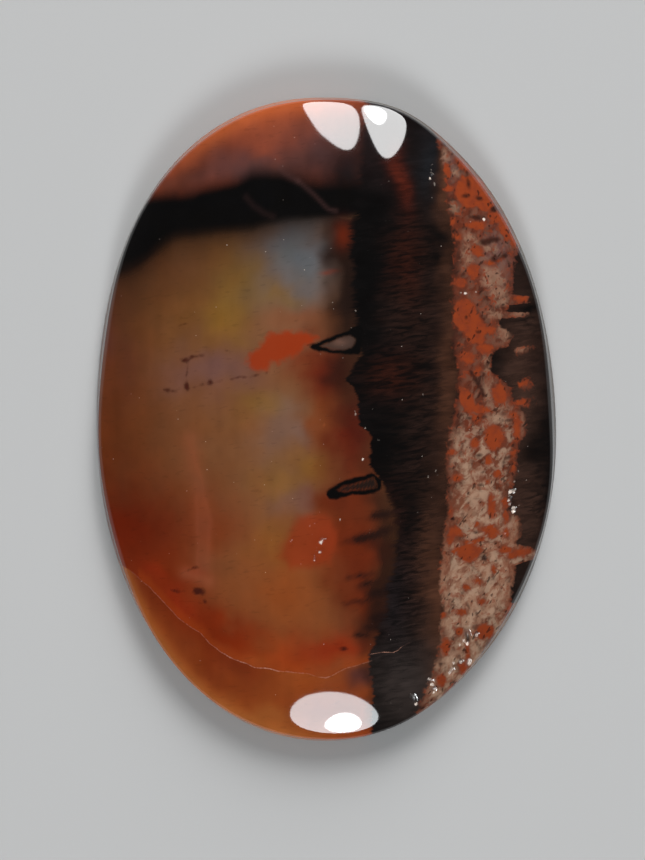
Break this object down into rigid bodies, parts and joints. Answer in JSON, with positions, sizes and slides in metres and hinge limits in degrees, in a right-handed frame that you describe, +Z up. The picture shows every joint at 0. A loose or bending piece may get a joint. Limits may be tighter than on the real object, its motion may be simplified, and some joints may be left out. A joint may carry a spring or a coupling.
{
  "type": "petrified wood cabochon",
  "caption": "Oval domed cabochon of polished petrified wood with a leaning girdle wall, a small back bevel and a flat lapped back.",
  "frame": {"origin": "middle of the oval's box, on the flat back that the stone rests on", "axes": "+Y along the long way of the oval, towards the end with the black band; +Z up out of the dome; +X to the right of the dome as it is seen from above"},
  "size_m": [0.032, 0.045, 0.006],
  "materials": {
    "petrified_wood": "polished"
  },
  "bodies": {
    "root": {"cabochon": "petrified_wood"}
  },
  "joints": []
}
